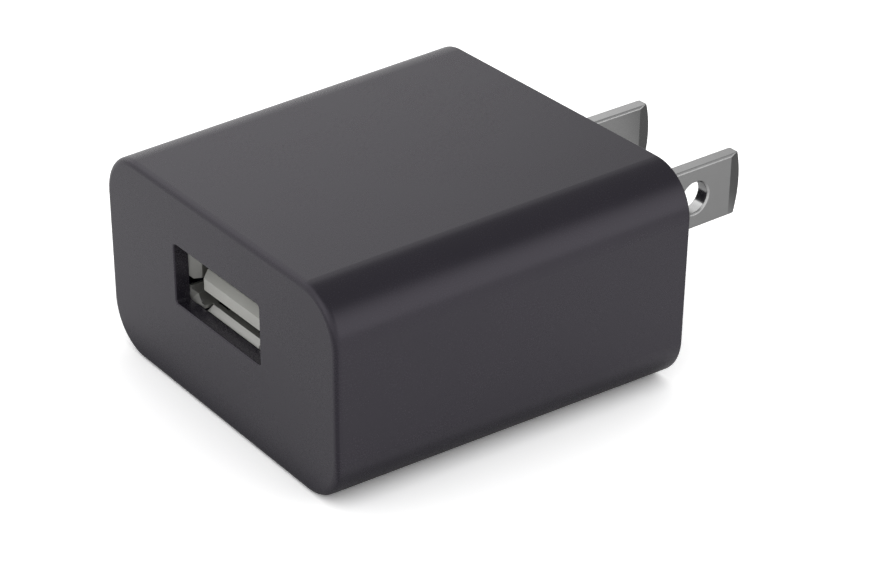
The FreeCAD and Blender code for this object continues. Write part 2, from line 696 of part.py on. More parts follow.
def tongue_lead_in(tongue):
    """Bevel the tongue's tip on its top, its underside and its two sides."""
    run = LEAD_IN_RUN
    drop = LEAD_IN_DROP
    tip = TONGUE_TIP_Y
    top = TONGUE_TOP_Z
    under = top - TONGUE_THICKNESS
    side = TONGUE_WIDTH / 2
    above = [V(-side, tip, top - drop), V(-side, tip + run, top), V(-side, tip, top)]
    below = [V(-side, tip, under + drop / 2), V(-side, tip + run / 2, under), V(-side, tip, under)]
    beside = [V(side - drop, tip, under), V(side, tip + run, under), V(side, tip, under)]
    shavings = []
    for outline, along in (
        (above, X_AXIS * TONGUE_WIDTH), (below, X_AXIS * TONGUE_WIDTH), (beside, Z_AXIS * TONGUE_THICKNESS)
    ):
        shavings.append(Part.Face(Part.makePolygon(outline + outline[:1])).extrude(along))
    for shaving in shavings + [mirrored(shavings[-1])]:
        tongue = tongue.cut(shaving)
    return tongue


# ---------------------------------------------------------------- transformer
def core_halves():
    """Two E-shaped ferrite halves that meet half way up the core."""
    half_x = CORE_WIDTH / 2
    half_y = CORE_DEPTH / 2
    middle_z = CORE_TOP_Z - CORE_HEIGHT / 2
    along_y = (TRANSFORMER_Y - half_y, TRANSFORMER_Y + half_y)
    window_x = (CORE_LEG / 2, half_x - CORE_BACK)
    halves = []
    for z_range, window_z in (
        ((middle_z + TOUCH_GAP / 2, CORE_TOP_Z), (middle_z - 1, CORE_TOP_Z - CORE_BACK)),
        ((CORE_BOTTOM_Z, middle_z - TOUCH_GAP / 2), (CORE_BOTTOM_Z + CORE_BACK, middle_z + 1)),
    ):
        half = block((-half_x, half_x), along_y, z_range)
        window = block(window_x, (along_y[0] - 1, along_y[1] + 1), window_z)
        halves.append(half.cut(window).cut(mirrored(window)))
    return halves


def ring_round_bobbin(inner_offset, outer_offset, z_range):
    """A rounded rectangular ring round the bobbin's tube, between two distances from the leg."""
    def slab(offset):
        half_x = CORE_LEG / 2 + offset
        half_y = CORE_DEPTH / 2 + offset
        return rounded_block(
            (-half_x, half_x), (TRANSFORMER_Y - half_y, TRANSFORMER_Y + half_y), z_range,
            offset * 0.6, Z_AXIS,
        )
    return slab(outer_offset).cut(slab(inner_offset))


def winding_span():
    """The height between the bobbin's two flanges."""
    return CORE_BOTTOM_Z + CORE_BACK + BOBBIN_WALL + 0.1, CORE_TOP_Z - CORE_BACK - BOBBIN_WALL - 0.1


def transformer_pins():
    """Four primary pins and two secondary pins, upright in the bobbin's rails."""
    half = PIN_SIDE / 2
    pins = []
    for x, y in PIN_PLACES:
        pins.append(block((x - half, x + half), (y - half, y + half), (CORE_TOP_Z - 0.6, LEAD_TOP_Z)))
    return pins


def transformer_bobbin():
    """The nylon spool: a tube round the middle leg, two flanges, and two rails for the pins."""
    low_z, high_z = winding_span()
    tube = ring_round_bobbin(BOBBIN_PLAY, BOBBIN_WALL, (low_z - BOBBIN_WALL, high_z + BOBBIN_WALL))
    flange_x = CORE_WIDTH / 2 - CORE_BACK - 0.1
    half_y = BOBBIN_DEPTH / 2
    parts = [tube]
    for z_low in (low_z - BOBBIN_WALL, high_z):
        flange = rounded_block(
            (-flange_x, flange_x), (TRANSFORMER_Y - half_y, TRANSFORMER_Y + half_y),
            (z_low, z_low + BOBBIN_WALL), 0.6, Z_AXIS,
        )
        bore = block(
            (-CORE_LEG / 2 - BOBBIN_PLAY, CORE_LEG / 2 + BOBBIN_PLAY),
            (TRANSFORMER_Y - CORE_DEPTH / 2 - BOBBIN_PLAY, TRANSFORMER_Y + CORE_DEPTH / 2 + BOBBIN_PLAY),
            (z_low - 1, z_low + BOBBIN_WALL + 1),
        )
        parts.append(flange.cut(bore))
    for side in (-1, 1):
        outer_y = TRANSFORMER_Y + side * half_y
        inner_y = TRANSFORMER_Y + side * (CORE_DEPTH / 2 + 0.1)
        along_y = (min(outer_y, inner_y), max(outer_y, inner_y))
        rail_x = (-RAIL_HALF_LENGTH, RAIL_HALF_LENGTH)
        parts.append(block(rail_x, along_y, (high_z, BOARD_UNDER_Z - STAND_OFF)))
    return joined(parts).cut(Part.makeCompound(transformer_pins()))


def core_tape():
    """The yellow tape that holds the two core halves together."""
    tape = TAPE_THICKNESS
    half_x = CORE_WIDTH / 2 + TOUCH_GAP
    low_z = CORE_BOTTOM_Z - TOUCH_GAP
    high_z = CORE_TOP_Z + TOUCH_GAP
    along_y = (TRANSFORMER_Y - TAPE_HALF_WIDTH, TRANSFORMER_Y + TAPE_HALF_WIDTH)
    outside = block((-half_x - tape, half_x + tape), along_y, (low_z - tape, high_z + tape))
    return outside.cut(block((-half_x, half_x), (along_y[0] - 1, along_y[1] + 1), (low_z, high_z)))


# ---------------------------------------------------------------- components on the board
def lead(x, y, z_low):
    """A round tinned lead that ends above the board's soldered side."""
    return upright(x, y, z_low, LEAD_TOP_Z, LEAD_RADIUS)


def capacitor_leads(centre, pitch):
    """Where the two leads of an upright capacitor go through the board."""
    x, y = centre
    return [(x, y - pitch / 2), (x, y + pitch / 2)]


def electrolytic(centre, radius, height, pitch):
    """An aluminium capacitor hanging from the board: rolled neck, scored end and two leads."""
    x, y = centre
    top_z = BOARD_UNDER_Z - STAND_OFF
    can = upright(x, y, top_z - height, top_z, radius)
    can = can.makeFillet(0.4, [e for e in can.Edges if isinstance(e.Curve, Part.Circle)])
    neck = Part.makeTorus(radius + 0.25, 0.5, V(x, y, top_z - 2.0), Z_AXIS)
    can = can.cut(neck)
    score = 0.2
    for angle in (0, 90):
        groove = block((-radius * 0.6, radius * 0.6), (-score / 2, score / 2), (-score, score))
        can = can.cut(groove.rotated(ORIGIN, Z_AXIS, angle).translated(V(x, y, top_z - height)))
    return joined([can] + [lead(a, b, top_z - 0.5) for a, b in capacitor_leads(centre, pitch)])


def safety_capacitor_leads():
    """The lead places of the disc capacitor that bridges the two sides of the circuit."""
    x, y = SAFETY_CAPACITOR_AT
    return [(x - DISC_PITCH / 2, y), (x + DISC_PITCH / 2, y)]


def safety_capacitor():
    """A blue ceramic disc on edge, with two leads."""
    x, y = SAFETY_CAPACITOR_AT
    centre_z = BOARD_UNDER_Z - DISC_DROP - DISC_RADIUS
    start = V(x, y - DISC_THICKNESS / 2, centre_z)
    disc = Part.makeCylinder(DISC_RADIUS, DISC_THICKNESS, start, Y_AXIS)
    disc = disc.makeFillet(1.2, [e for e in disc.Edges if isinstance(e.Curve, Part.Circle)])
    return joined([disc] + [lead(a, b, centre_z) for a, b in safety_capacitor_leads()])


def output_diode_leads():
    """The lead places of the lying diode."""
    x, y = OUTPUT_DIODE_AT
    return [(x, y - DIODE_PITCH / 2), (x, y + DIODE_PITCH / 2)]


def output_diode():
    """An axial diode lying along the port, its two leads bent up into the board."""
    x, y = OUTPUT_DIODE_AT
    centre_z = BOARD_UNDER_Z - STAND_OFF - DIODE_RADIUS
    start = V(x, y - DIODE_LENGTH / 2, centre_z)
    body = Part.makeCylinder(DIODE_RADIUS, DIODE_LENGTH, start, Y_AXIS)
    body = body.makeFillet(0.25, [e for e in body.Edges if isinstance(e.Curve, Part.Circle)])
    wire = Part.makeCylinder(LEAD_RADIUS, DIODE_PITCH, V(x, y - DIODE_PITCH / 2, centre_z), Y_AXIS)
    pieces = [body, wire]
    for a, b in output_diode_leads():
        pieces.append(lead(a, b, centre_z))
        pieces.append(Part.makeSphere(LEAD_RADIUS, V(a, b, centre_z)))
    return joined(pieces)


def fuse_resistor_leads():
    """The lead places of the upright fusible resistor."""
    x, y = FUSE_RESISTOR_AT
    return [(x, y), (x - RESISTOR_PITCH, y)]


def fuse_resistor():
    """A fusible resistor standing on one lead, with the other bent back up beside it."""
    near, far = fuse_resistor_leads()
    x, y = near
    top_z = BOARD_UNDER_Z - RESISTOR_DROP
    bottom_z = top_z - RESISTOR_LENGTH
    turn_z = bottom_z - 3 * LEAD_RADIUS
    parts = [
        upright(x, y, bottom_z, bottom_z + RESISTOR_CAP, RESISTOR_RADIUS),
        upright(x, y, top_z - RESISTOR_CAP, top_z, RESISTOR_RADIUS),
        upright(x, y, bottom_z + 1, top_z - 1, RESISTOR_RADIUS - 0.25),
        upright(x, y, turn_z, bottom_z + 0.2, LEAD_RADIUS),
        lead(x, y, top_z - 0.2),
        lead(far[0], far[1], turn_z),
        Part.makeCylinder(LEAD_RADIUS, RESISTOR_PITCH, V(far[0], far[1], turn_z), X_AXIS),
        Part.makeSphere(LEAD_RADIUS, V(x, y, turn_z)),
        Part.makeSphere(LEAD_RADIUS, V(far[0], far[1], turn_z)),
    ]
    return joined(parts)


def choke_leads():
    """The lead places of the input choke."""
    x, y = INPUT_CHOKE_AT
    return [(x - CHOKE_PITCH / 2, y), (x + CHOKE_PITCH / 2, y)]


def choke_core():
    """The ferrite drum of the input choke, notched where the winding's ends leave."""
    x, y = INPUT_CHOKE_AT
    top_z = BOARD_UNDER_Z - STAND_OFF
    low_z = top_z - CHOKE_HEIGHT
    flange = CHOKE_FLANGE
    core = joined([
        upright(x, y, low_z, low_z + flange, CHOKE_CORE_RADIUS),
        upright(x, y, low_z + flange / 2, top_z - flange / 2, CHOKE_WAIST_RADIUS),
        upright(x, y, top_z - flange, top_z, CHOKE_CORE_RADIUS),
    ])
    for a, b in choke_leads():
        core = core.cut(upright(a, b, top_z - flange - 0.1, top_z + 0.1, LEAD_HOLE_RADIUS))
    return core


def choke_winding():
    """The copper winding on the drum and its two ends, which are soldered in the board."""
    x, y = INPUT_CHOKE_AT
    top_z = BOARD_UNDER_Z - STAND_OFF
    span = (top_z - CHOKE_HEIGHT + CHOKE_FLANGE + TOUCH_GAP, top_z - CHOKE_FLANGE - TOUCH_GAP)
    coil = upright(x, y, span[0], span[1], CHOKE_CORE_RADIUS - 0.35)
    coil = coil.cut(upright(x, y, span[0] - 1, span[1] + 1, CHOKE_WAIST_RADIUS + TOUCH_GAP))
    return joined([coil] + [lead(a, b, span[1] - 0.5) for a, b in choke_leads()])


def chip_leg(size, side, toe):
    """One folded leg of a chip centred on the origin, out to the toe's distance."""
    width, height = size[1:]
    knee_z = BOARD_TOP_Z + STAND_OFF + height * 0.45
    floor_z = BOARD_TOP_Z + CHIP_FOOT / 2
    knee_y = side * (width / 2 + 0.3)
    points = [
        V(0, side * (width / 2 - 0.2), knee_z),
        V(0, knee_y, knee_z),
        V(0, knee_y + side * 0.15, floor_z),
        V(0, side * toe, floor_z),
    ]
    return strip(points, CHIP_FOOT, CHIP_LEG_WIDTH, X_AXIS)


def surface_chip(x, y, size, legs_per_side, leg_span):
    """A moulded chip on the soldered side, with legs along its two long sides."""
    length, width, height = size
    low_z = BOARD_TOP_Z + STAND_OFF
    body = block((-length / 2, length / 2), (-width / 2, width / 2), (low_z, low_z + height))
    parts = [body.makeChamfer(0.15, edges_along(body, Z_AXIS))]
    pitch = (length - CHIP_LEG_WIDTH) / max(legs_per_side - 0.5, 1)
    for index in range(legs_per_side):
        leg_x = (index - (legs_per_side - 1) / 2) * pitch
        for side in (-1, 1):
            parts.append(chip_leg(size, side, leg_span / 2).translated(V(leg_x, 0, 0)))
    return joined(parts).translated(V(x, y, 0))


def chip_row(places, size, turned):
    """Small two-ended chips lying on the soldered side; turned ones point along y."""
    length, width, height = size
    along, across = (width, length) if turned else (length, width)
    chip = block((-along / 2, along / 2), (-across / 2, across / 2), (BOARD_TOP_Z, BOARD_TOP_Z + height))
    chip = chip.makeFillet(0.08, edges_along(chip, Z_AXIS))
    return [chip.translated(V(x, y, 0)) for x, y in places]


def barrier_sheet():
    """The insulating sheet between the transformer and the receptacle, set in the board's slot."""
    return block(BARRIER_X, BARRIER_Y, (BARRIER_BOTTOM_Z, BOARD_TOP_Z))


def round_lead_places():
    """Every place where a round lead goes through the board."""
    places = []
    for centre in INPUT_CAPACITOR_AT + (OUTPUT_CAPACITOR_AT,):
        places += capacitor_leads(centre, LARGE_CAPACITOR_PITCH)
    for centre in (SUPPLY_CAPACITOR_AT, SECOND_OUTPUT_CAPACITOR_AT):
        places += capacitor_leads(centre, SMALL_CAPACITOR_PITCH)
    places += safety_capacitor_leads() + output_diode_leads()
    return places + fuse_resistor_leads() + choke_leads()


def main_board():
    """The board, with its lead holes, the isolation slot and openings for pins, legs and strips."""
    half_x = BOARD_WIDTH / 2
    through = (BOARD_UNDER_Z - 1, BOARD_TOP_Z + 1)
    board = rounded_block(
        (-half_x, half_x), (BOARD_FRONT_Y, BOARD_BACK_Y), (BOARD_UNDER_Z, BOARD_TOP_Z), 1.0, Z_AXIS
    )
    board = board.cut(block(BARRIER_SLOT_X, BARRIER_SLOT_Y, through))
    holes = [upright(x, y, through[0], through[1], LEAD_HOLE_RADIUS) for x, y in round_lead_places()]
    strips = transformer_pins() + contact_tails() + [terminal_spring(), mirrored(terminal_spring())]
    leg = block(
        (SHELL_INNER_WIDTH / 2 - LEG_GAP, SHELL_INNER_WIDTH / 2 + SHELL_SHEET + LEG_GAP),
        (LEG_Y[0] - LEG_GAP, LEG_Y[1] + LEG_GAP),
        through,
    )
    return board.cut(Part.makeCompound(holes + strips + [leg, mirrored(leg)]))


def solder_joints():
    """A solder cone round every round lead, on the board's upper side."""
    joints = []
    for x, y in round_lead_places():
        cone = Part.makeCone(SOLDER_RADIUS, LEAD_RADIUS + 0.12, SOLDER_HEIGHT, V(x, y, BOARD_TOP_Z), Z_AXIS)
        joints.append(cone.cut(upright(x, y, BOARD_TOP_Z - 1, LEAD_TOP_Z, LEAD_RADIUS + TOUCH_GAP)))
    return joints


# ---------------------------------------------------------------- the set of pieces
def outside_pieces():
    """The body and the two blades with the strips that press on them."""
    return {
        "housing": [housing()],
        "rear_cover": [rear_cover()],
        "blade_left": [blade(-BLADE_X)],
        "blade_right": [blade(BLADE_X)],
        "blade_terminal_left": [mirrored(terminal_spring())],
        "blade_terminal_right": [terminal_spring()],
    }


def receptacle_pieces():
    """The USB-A receptacle: its shell, insulator, contacts and spring fingers."""
    nodes = {
        "usb_shell": [usb_shell()],
        "usb_insulator": [usb_insulator()],
        "usb_contact_tails": contact_tails(),
    }
    for index, x in enumerate(CONTACT_X, 1):
        nodes["usb_contact_%d" % index] = [contact_beam(x)]
    for up, level in ((1, "top"), (-1, "bottom")):
        for side, hand in ((-1, "left"), (1, "right")):
            nodes["shell_finger_%s_%s" % (level, hand)] = [shell_finger(side, up)]
    return nodes


def transformer_pieces():
    """The transformer, from the core outward through the windings to the tape."""
    low_z, high_z = winding_span()
    full = (low_z + 0.05, high_z - 0.05)
    short = (low_z + 0.4, high_z - 0.4)
    primary = PRIMARY_BUILD
    insulation = primary + TOUCH_GAP + TAPE_THICKNESS
    secondary = insulation + TOUCH_GAP + SECONDARY_BUILD
    wrap = secondary + TOUCH_GAP + TAPE_THICKNESS
    return {
        "transformer_core": core_halves(),
        "transformer_bobbin": [transformer_bobbin()],
        "transformer_pins": transformer_pins(),
        "primary_winding": [ring_round_bobbin(BOBBIN_WALL + TOUCH_GAP, primary, full)],
        "winding_insulation": [ring_round_bobbin(primary + TOUCH_GAP, insulation, full)],
        "secondary_winding": [ring_round_bobbin(insulation + TOUCH_GAP, secondary, short)],
        "winding_wrap": [ring_round_bobbin(secondary + TOUCH_GAP, wrap, full)],
        "core_tape": [core_tape()],
    }


def capacitor_pieces():
    """The five aluminium capacitors and the disc."""
    small = (SMALL_CAPACITOR_RADIUS, SMALL_CAPACITOR_HEIGHT, SMALL_CAPACITOR_PITCH)
    output = (LARGE_CAPACITOR_RADIUS, OUTPUT_CAPACITOR_HEIGHT, LARGE_CAPACITOR_PITCH)
    reservoir = (LARGE_CAPACITOR_RADIUS, INPUT_CAPACITOR_HEIGHT, LARGE_CAPACITOR_PITCH)
    return {
        "supply_capacitor": [electrolytic(SUPPLY_CAPACITOR_AT, *small)],
        "output_capacitor_1": [electrolytic(OUTPUT_CAPACITOR_AT, *output)],
        "output_capacitor_2": [electrolytic(SECOND_OUTPUT_CAPACITOR_AT, *small)],
        "input_capacitor_1": [electrolytic(INPUT_CAPACITOR_AT[0], *reservoir)],
        "input_capacitor_2": [electrolytic(INPUT_CAPACITOR_AT[1], *reservoir)],
        "safety_capacitor": [safety_capacitor()],
    }


def board_pieces():
    """The board, its solder, and everything else mounted on it."""
    return {
        "main_board": [main_board()],
        "solder_joints": solder_joints(),
        "insulating_sheet": [barrier_sheet()],
        "output_diode": [output_diode()],
        "fuse_resistor": [fuse_resistor()],
        "input_choke_core": [choke_core()],
        "input_choke_winding": [choke_winding()],
        "bridge_rectifier": [surface_chip(0.0, -6.5, BRIDGE_SIZE, 2, 5.4)],
        "controller_chip": [surface_chip(0.0, -14.9, CONTROLLER_SIZE, 4, 6.0)],
        "port_chip": [surface_chip(-1.5, -30.2, PORT_CHIP_SIZE, 3, 2.8)],
        "clamp_diode": chip_row([(9.4, -10.6)], CLAMP_SIZE, False),
        "signal_diodes": chip_row([(6.2, -13.0), (-7.4, -9.6)], SIGNAL_DIODE_SIZE, True),
        "chip_resistors": chip_row(CHIP_RESISTOR_AT, CHIP_RESISTOR_SIZE, False),
        "chip_capacitors": chip_row(CHIP_CAPACITOR_AT, CHIP_CAPACITOR_SIZE, True),
    }


def main():
    """Write one STEP file for every node."""
    os.makedirs("parts", exist_ok=True)
    nodes = {}
    for group in (outside_pieces, receptacle_pieces, transformer_pieces, capacitor_pieces, board_pieces):
        nodes.update(group())
    for name, solids in nodes.items():
        shape = solids[0] if len(solids) == 1 else Part.makeCompound(solids)
        shape.exportStep("parts/%s.step" % name)
        print("%-24s solids %2d valid %s" % (name, len(shape.Solids), shape.isValid()))


main()
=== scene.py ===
"""Looks of the USB wall charger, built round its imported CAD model."""
import json
import math

import bpy
from mathutils import Matrix, Vector


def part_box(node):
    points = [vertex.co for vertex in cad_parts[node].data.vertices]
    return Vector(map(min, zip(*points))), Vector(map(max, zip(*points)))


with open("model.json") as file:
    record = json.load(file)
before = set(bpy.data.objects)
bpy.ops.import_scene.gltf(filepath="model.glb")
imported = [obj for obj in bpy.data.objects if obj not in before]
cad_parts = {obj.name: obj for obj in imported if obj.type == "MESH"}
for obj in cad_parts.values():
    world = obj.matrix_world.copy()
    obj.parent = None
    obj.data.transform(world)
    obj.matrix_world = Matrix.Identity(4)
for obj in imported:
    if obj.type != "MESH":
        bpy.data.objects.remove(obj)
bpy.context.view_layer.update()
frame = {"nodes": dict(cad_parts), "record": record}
nodes = frame["nodes"]

MM = 0.001


# ---------------------------------------------------------------- record and node helpers
def mount(name):
    return next(entry for entry in frame["record"]["mounts"] if entry["name"] == name)


class Nodes:
    """A node tree and short calls that add and link its nodes."""

    def __init__(self, tree):
        self.tree = tree

    def add(self, kind, **settings):
        node = self.tree.nodes.new(kind)
        for key, value in settings.items():
            setattr(node, key, value)
        return node

    def feed(self, socket, value):
        """Link an output to a socket, or set the socket to a plain value."""
        if isinstance(value, bpy.types.NodeSocket):
            self.tree.links.new(value, socket)
        elif socket.type == "RGBA" and len(value) == 3:
            socket.default_value = (*value, 1)
        else:
            socket.default_value = value

    def ramp(self, value, low, high, out_low, out_high, curve="LINEAR"):
        """Map a value's range to another, clamped."""
        node = self.add("ShaderNodeMapRange", interpolation_type=curve)
        self.feed(node.inputs["Value"], value)
        self.feed(node.inputs["From Min"], low)
        self.feed(node.inputs["From Max"], high)
        self.feed(node.inputs["To Min"], out_low)
        self.feed(node.inputs["To Max"], out_high)
        return node.outputs["Result"]

    def maths(self, operation, first, second=0.0):
        node = self.add("ShaderNodeMath", operation=operation)
        self.feed(node.inputs[0], first)
        self.feed(node.inputs[1], second)
        return node.outputs[0]

    def vector(self, operation, first, second=None):
        """Vector maths; the result is a number for DOT_PRODUCT and LENGTH."""
        node = self.add("ShaderNodeVectorMath", operation=operation)
        self.feed(node.inputs[0], first)
        if second is not None:
            self.feed(node.inputs[1], second)
        return node.outputs["Value" if operation in ("DOT_PRODUCT", "LENGTH") else "Vector"]

    def parts(self, vector):
        """The X, Y and Z of a vector."""
        node = self.add("ShaderNodeSeparateXYZ")
        self.feed(node.inputs[0], vector)
        return node.outputs

    def mix(self, factor, first, second):
        """Blend two colours."""
        node = self.add("ShaderNodeMix", data_type="RGBA")
        self.feed(node.inputs[0], factor)
        self.feed(node.inputs[6], first)
        self.feed(node.inputs[7], second)
        return node.outputs[2]

    def choose(self, factor, first, second):
        """Blend two numbers."""
        node = self.add("ShaderNodeMix", data_type="FLOAT")
        self.feed(node.inputs[0], factor)
        self.feed(node.inputs[2], first)
        self.feed(node.inputs[3], second)
        return node.outputs[0]


class Shader(Nodes):
    """A new material's nodes, with textures laid out in the object's own metres."""

    def __init__(self, name):
        self.material = bpy.data.materials.new(name)
        self.material.use_nodes = True
        super().__init__(self.material.node_tree)
        self.principled = self.tree.nodes["Principled BSDF"]
        self.place = self.add("ShaderNodeTexCoord").outputs["Object"]

    def set(self, **inputs):
        """Set or link the shader's inputs; an underscore in a name stands for a space."""
        for key, value in inputs.items():
            self.feed(self.principled.inputs[key.replace("_", " ")], value)

    def scaled(self, stretch):
        """The surface place, stretched by a factor per axis."""
        return self.vector("MULTIPLY", self.place, stretch)

    def noise(self, size, detail=2.0, roughness=0.5, place=None):
        """Noise from 0 to 1 whose features are about size metres across."""
        node = self.add("ShaderNodeTexNoise")
        self.feed(node.inputs["Vector"], self.place if place is None else place)
        node.inputs["Scale"].default_value = 1 / size
        node.inputs["Detail"].default_value = detail
        node.inputs["Roughness"].default_value = roughness
        return node.outputs["Fac"]

    def cells(self, size, feature="F1"):
        """Distances in a pattern of cells about size metres across."""
        node = self.add("ShaderNodeTexVoronoi", feature=feature)
        self.feed(node.inputs["Vector"], self.place)
        node.inputs["Scale"].default_value = 1 / size
        return node.outputs["Distance"]

    def clouded(self, colour, factor, darkest=0.94, lightest=1.05):
        """A colour that a factor of 0 to 1 takes from a little darker to a little lighter."""
        dark = tuple(channel * darkest for channel in colour)
        light = tuple(min(channel * lightest, 1.0) for channel in colour)
        return self.mix(factor, dark, light)

    def facing(self):
        """The X, Y and Z of the surface's direction."""
        return self.parts(self.add("ShaderNodeNewGeometry").outputs["Normal"])

    def rounded(self, radius, samples=4):
        """The surface's direction with its edges rounded by a radius."""
        node = self.add("ShaderNodeBevel", samples=samples)
        node.inputs["Radius"].default_value = radius
        return node.outputs["Normal"]

    def edge(self, radius):
        """0 on flat faces, rising towards 1 where a convex or concave edge is within the radius."""
        straight = self.add("ShaderNodeNewGeometry").outputs["Normal"]
        agreement = self.vector("DOT_PRODUCT", self.rounded(radius), straight)
        return self.ramp(agreement, 1.0, 0.8, 0.0, 1.0)

    def bump(self, height, depth, normal=None):
        """A normal from a height of 0 to 1 that is depth metres deep."""
        node = self.add("ShaderNodeBump")
        self.feed(node.inputs["Height"], height)
        node.inputs["Distance"].default_value = depth
        if normal is not None:
            self.feed(node.inputs["Normal"], normal)
        return node.outputs["Normal"]


def dress(names, material):
    for name in names:
        node = nodes[name]
        node.data.materials.clear()
        node.data.materials.append(material)


# ---------------------------------------------------------------- materials
BODY_SHEEN = (0.95, 0.89, 1.0)
BODY_DARK = (0.0165, 0.0148, 0.0205)
BODY_LIGHT = (0.0190, 0.0170, 0.0235)
BODY_WORN = (0.03, 0.028, 0.034)
BLADE_COLOUR = (0.56, 0.56, 0.56)
SHELL_COLOUR = (0.45, 0.45, 0.433)
SHELL_BORE_WIDTH = 12.5 * MM
SHELL_BORE_HEIGHT = 5.12 * MM
SHELL_MOUTH = 1.2 * MM
MOUTH_COLOUR = (0.43, 0.43, 0.412)
MOUTH_METAL = 0.6
TONGUE_COLOUR = (0.52, 0.52, 0.49)
GOLD = (0.83, 0.58, 0.24)
BRONZE = (0.62, 0.36, 0.2)
BRONZE_STAIN = (0.3, 0.15, 0.08)
TIN = (0.62, 0.62, 0.6)
YELLOW = (0.74, 0.55, 0.06)
WEAVE_PITCH = 0.45 * MM
# Colour bands of the resistor: height above its lower end in millimetres, and colour.
RESISTOR_BANDS = (
    (3.6, (0.35, 0.18, 0.02)),
    (4.8, (0.01, 0.01, 0.01)),
    (6.0, (0.02, 0.02, 0.02)),
    (7.4, (0.5, 0.36, 0.1)),
)
BAND_HALF_HEIGHT = 0.3 * MM


def body_plastic():
    """Matte charcoal moulded plastic: fine texture, faint flow clouds, edges rubbed a little paler."""
    s = Shader("body_plastic")
    cloud = s.noise(6 * MM, 3)
    grain = s.noise(0.12 * MM, 3, 0.6)
    scuffs = s.ramp(s.noise(1.2 * MM, 4, 0.6, s.scaled((1.0, 0.15, 1.0))), 0.66, 0.74, 0.0, 1.0)
    worn = s.maths("MULTIPLY", s.edge(0.35 * MM), 0.25)
    colour = s.mix(worn, s.mix(cloud, BODY_DARK, BODY_LIGHT), BODY_WORN)
    rough = s.ramp(cloud, 0.3, 0.7, 0.25, 0.28)
    rough = s.maths("ADD", rough, s.ramp(grain, 0.3, 0.7, -0.02, 0.02))
    rough = s.maths("ADD", rough, s.maths("MULTIPLY", scuffs, 0.02))
    s.set(Base_Color=colour, Roughness=rough, Normal=s.bump(grain, 0.0012 * MM), Specular_Tint=BODY_SHEEN)
    return s.material


def plated(name, colour, rough, stretch, rounding=None, stain=None):
    """Plated metal with fine lines along the strip and faint clouds; rounded edges and stains if asked."""
    s = Shader(name)
    lines = s.noise(0.09 * MM, 3, 0.6, s.scaled(stretch))
    tint = s.clouded(colour, s.noise(1.5 * MM, 3))
    if stain is not None:
        spots = s.ramp(s.noise(0.5 * MM, 4, 0.6), 0.58, 0.75, 0.0, 0.5)
        tint = s.mix(spots, tint, stain)
    normal = None
    if rounding is not None:
        normal = s.rounded(rounding, samples=6)
    s.set(
        Base_Color=tint,
        Metallic=1.0,
        Roughness=s.ramp(lines, 0.3, 0.7, rough - 0.04, rough + 0.05),
        Normal=s.bump(lines, 0.0015 * MM, normal),
    )
    return s.material


def flared_mouth(s):
    """1 on the shell's sloping faces that flare out of its bore near the port's mouth, and 0 elsewhere."""
    x, y, z = s.parts(s.place)
    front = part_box("usb_shell")[0].y
    sideways = s.maths("SUBTRACT", s.maths("ABSOLUTE", x), SHELL_BORE_WIDTH / 2)
    from_middle = s.maths("ABSOLUTE", s.maths("SUBTRACT", z, mount("usb_port")["pos_m"][2]))
    upright = s.maths("SUBTRACT", from_middle, SHELL_BORE_HEIGHT / 2)
    outside = s.ramp(s.maths("MAXIMUM", sideways, upright), 0.01 * MM, 0.04 * MM, 0.0, 1.0)
    near = s.ramp(y, front + SHELL_MOUTH, front + SHELL_MOUTH + 0.06 * MM, 1.0, 0.0)
    tilt = s.maths("ABSOLUTE", s.facing()["Y"])
    sloping = s.maths("MULTIPLY", s.ramp(tilt, 0.05, 0.12, 0.0, 1.0), s.ramp(tilt, 0.9, 0.97, 1.0, 0.0))
    return s.maths("MULTIPLY", s.maths("MULTIPLY", near, outside), sloping)


def shell_steel():
    """Nickel-plated steel: satin inside the port, and matt on the flared mouth where plugs rub it."""
    s = Shader("shell_steel")
    lines = s.noise(0.09 * MM, 3, 0.6, s.scaled((1.0, 0.12, 1.0)))
    mouth = flared_mouth(s)
    plating = s.clouded(SHELL_COLOUR, s.noise(1.5 * MM, 3), 0.95, 1.05)
    rubbed = s.clouded(MOUTH_COLOUR, lines, 0.94, 1.06)
    s.set(
        Base_Color=s.mix(mouth, plating, rubbed),
        Metallic=s.ramp(mouth, 0, 1, 1.0, MOUTH_METAL),
        Roughness=s.ramp(lines, 0.3, 0.7, 0.42, 0.51),
        Normal=s.bump(lines, 0.0015 * MM, s.rounded(0.05 * MM)),
    )
    return s.material


def moulded(name, colour, rough, fleck=0.04, grain_size=0.1 * MM):
    """Plain moulded plastic or epoxy with a fine grain."""
    s = Shader(name)
    grain = s.noise(grain_size, 2, 0.6)
    flecks = s.ramp(grain, 0.35, 0.65, fleck, 0.0)
    s.set(
        Base_Color=s.mix(flecks, s.clouded(colour, s.noise(2 * MM, 3)), (0, 0, 0)),
        Roughness=s.ramp(grain, 0.3, 0.7, rough - 0.04, rough + 0.05),
        Normal=s.bump(grain, 0.003 * MM),
    )
    return s.material


def ferrite():
    """Sintered ferrite: dark grey, pitted, dull."""
    s = Shader("ferrite")
    pits = s.ramp(s.cells(0.18 * MM), 0.0, 0.35, 0.0, 1.0)
    grain = s.noise(0.08 * MM, 4, 0.7)
    s.set(
        Base_Color=s.mix(grain, (0.022, 0.022, 0.025), (0.055, 0.055, 0.06)),
        Roughness=s.ramp(grain, 0.3, 0.7, 0.5, 0.7),
        Normal=s.bump(s.maths("ADD", pits, grain), 0.012 * MM),
    )
    return s.material


